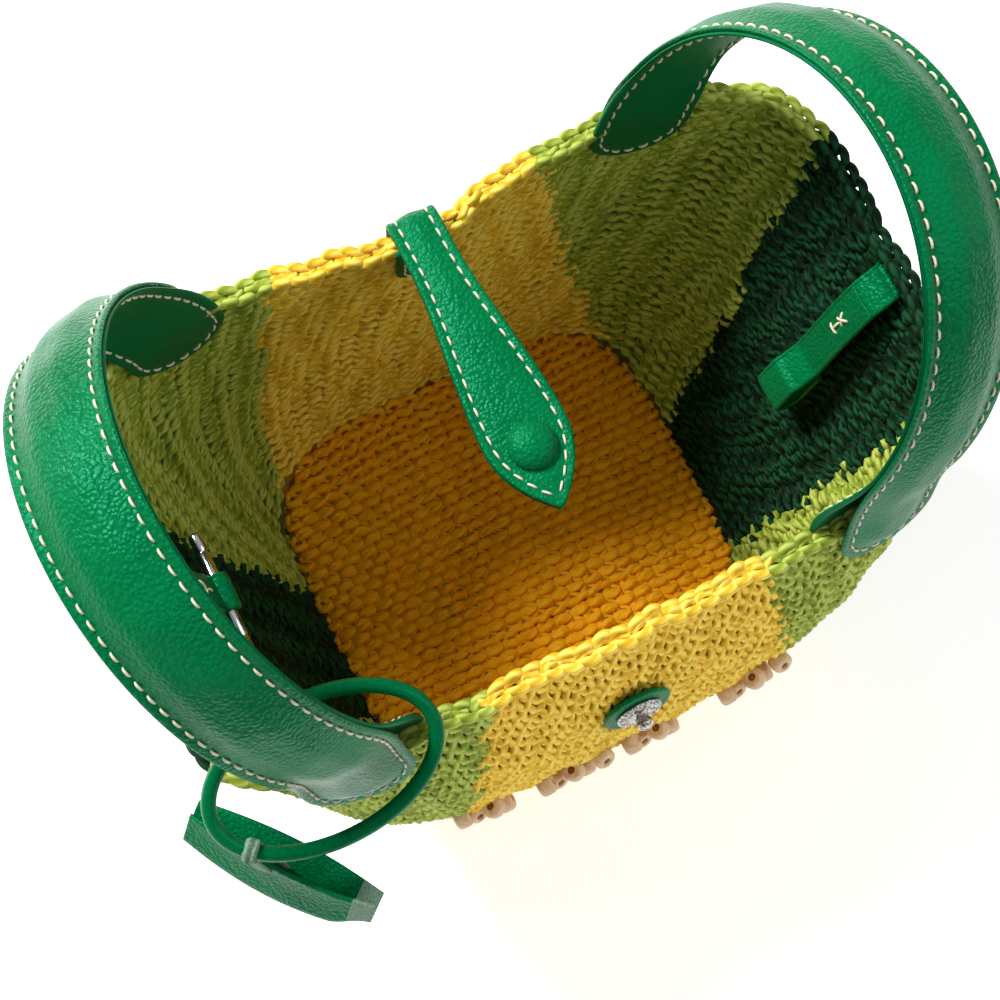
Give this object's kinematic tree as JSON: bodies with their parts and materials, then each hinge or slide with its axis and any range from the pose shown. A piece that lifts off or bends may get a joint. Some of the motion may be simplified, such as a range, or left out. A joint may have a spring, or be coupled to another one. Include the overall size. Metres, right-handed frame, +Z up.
{
  "type": "tote bag",
  "caption": "Small crocheted tote in colour-blocked yarn with two padded leather handles, a snap closing strap, an inner toggle cinch and a hanging leather tag.",
  "frame": {"origin": "middle of the base, on the surface the bag stands on", "axes": "+X to the right along the mouth, +Y from the front with the snap to the back, +Z up"},
  "size_m": [0.2808, 0.1946, 0.2493],
  "materials": {
    "yellow_yarn": "crocheted plied cotton yarn",
    "light_green_yarn": "crocheted plied cotton yarn",
    "dark_green_yarn": "crocheted plied cotton yarn",
    "pebbled_leather": "pebbled, soft sheen",
    "lining_leather": "smooth",
    "thong_leather": "raw edged",
    "handle_padding": "felt padding",
    "polished_metal": "polished",
    "antique_metal": "antique silver",
    "bead_wood": "unvarnished"
  },
  "bodies": {
    "bag": {"back_left_light_panel": "light_green_yarn", "back_right_light_panel": "light_green_yarn", "back_yellow_panel": "yellow_yarn", "cinch_loop_tab": "pebbled_leather", "closure_inner_tab": "lining_leather", "closure_outer_tab": "pebbled_leather", "front_left_light_panel": "light_green_yarn", "front_right_light_panel": "light_green_yarn", "front_snap_backing": "lining_leather", "front_snap_stud": "antique_metal", "front_snap_washer": "pebbled_leather", "front_yellow_panel": "yellow_yarn", "left_dark_panel": "dark_green_yarn", "left_handle_back_inner_tab": "lining_leather", "left_handle_back_outer_tab": "pebbled_leather", "left_handle_front_inner_tab": "lining_leather", "left_handle_front_outer_tab": "pebbled_leather", "right_dark_panel": "dark_green_yarn", "right_handle_back_inner_tab": "lining_leather", "right_handle_back_outer_tab": "pebbled_leather", "right_handle_front_inner_tab": "lining_leather", "right_handle_front_outer_tab": "pebbled_leather", "toggle_strap_tab": "pebbled_leather", "wooden_beads": "bead_wood", "yellow_base": "yellow_yarn"},
    "left_handle": {"left_handle_leather": "pebbled_leather", "left_handle_filler": "handle_padding", "left_handle_lining": "lining_leather"},
    "right_handle": {"right_handle_leather": "pebbled_leather", "right_handle_filler": "handle_padding", "right_handle_lining": "lining_leather"},
    "closure_strap": {"closure_strap_leather": "pebbled_leather", "closure_strap_lining": "lining_leather", "snap_cap": "pebbled_leather", "snap_socket": "antique_metal"},
    "toggle_strap": {"toggle_strap": "pebbled_leather"},
    "toggle_bar": {"toggle_bar": "polished_metal"},
    "cinch_loop": {"cinch_loop_strap": "pebbled_leather"},
    "hanging_ring": {"hanging_ring": "pebbled_leather"},
    "tag": {"tag_thong": "thong_leather", "tag_front_leaf": "pebbled_leather", "tag_back_leaf": "pebbled_leather"}
  },
  "joints": [
    {"name": "left_handle_lean", "type": "hinge", "parent": "bag", "child": "left_handle", "pos_m": [-0.088, 0.002, 0.168], "axis": [0, 1, 0], "range_deg": [-20, 45]},
    {"name": "right_handle_lean", "type": "hinge", "parent": "bag", "child": "right_handle", "pos_m": [0.088, 0.002, 0.168], "axis": [0, 1, 0], "range_deg": [-45, 20]},
    {"name": "closure_strap_lift", "type": "hinge", "parent": "bag", "child": "closure_strap", "pos_m": [0, 0.069, 0.157], "axis": [1, 0, 0], "range_deg": [-180, 25]},
    {"name": "toggle_strap_lift", "type": "hinge", "parent": "bag", "child": "toggle_strap", "pos_m": [-0.115, 0.005, 0.142], "axis": [0, 1, 0], "range_deg": [-80, 0]},
    {"name": "toggle_bar_turn", "type": "hinge", "parent": "toggle_strap", "child": "toggle_bar", "pos_m": [-0.09995, 0.005, 0.10065], "axis": [0, 1, 0], "continuous": true},
    {"name": "cinch_loop_lift", "type": "hinge", "parent": "bag", "child": "cinch_loop", "pos_m": [0.115, -0.009, 0.142], "axis": [0, 1, 0], "range_deg": [0, 80]},
    {"name": "hanging_ring_tip", "type": "hinge", "parent": "bag", "child": "hanging_ring", "pos_m": [-0.095, -0.069, 0.1605], "axis": [1, 0, 0], "range_deg": [-15, 6]},
    {"name": "tag_swing", "type": "hinge", "parent": "hanging_ring", "child": "tag", "pos_m": [-0.12285, -0.07968, 0.15433], "axis": [0.7422, -0.6702, 0], "range_deg": [-60, 0]}
  ]
}
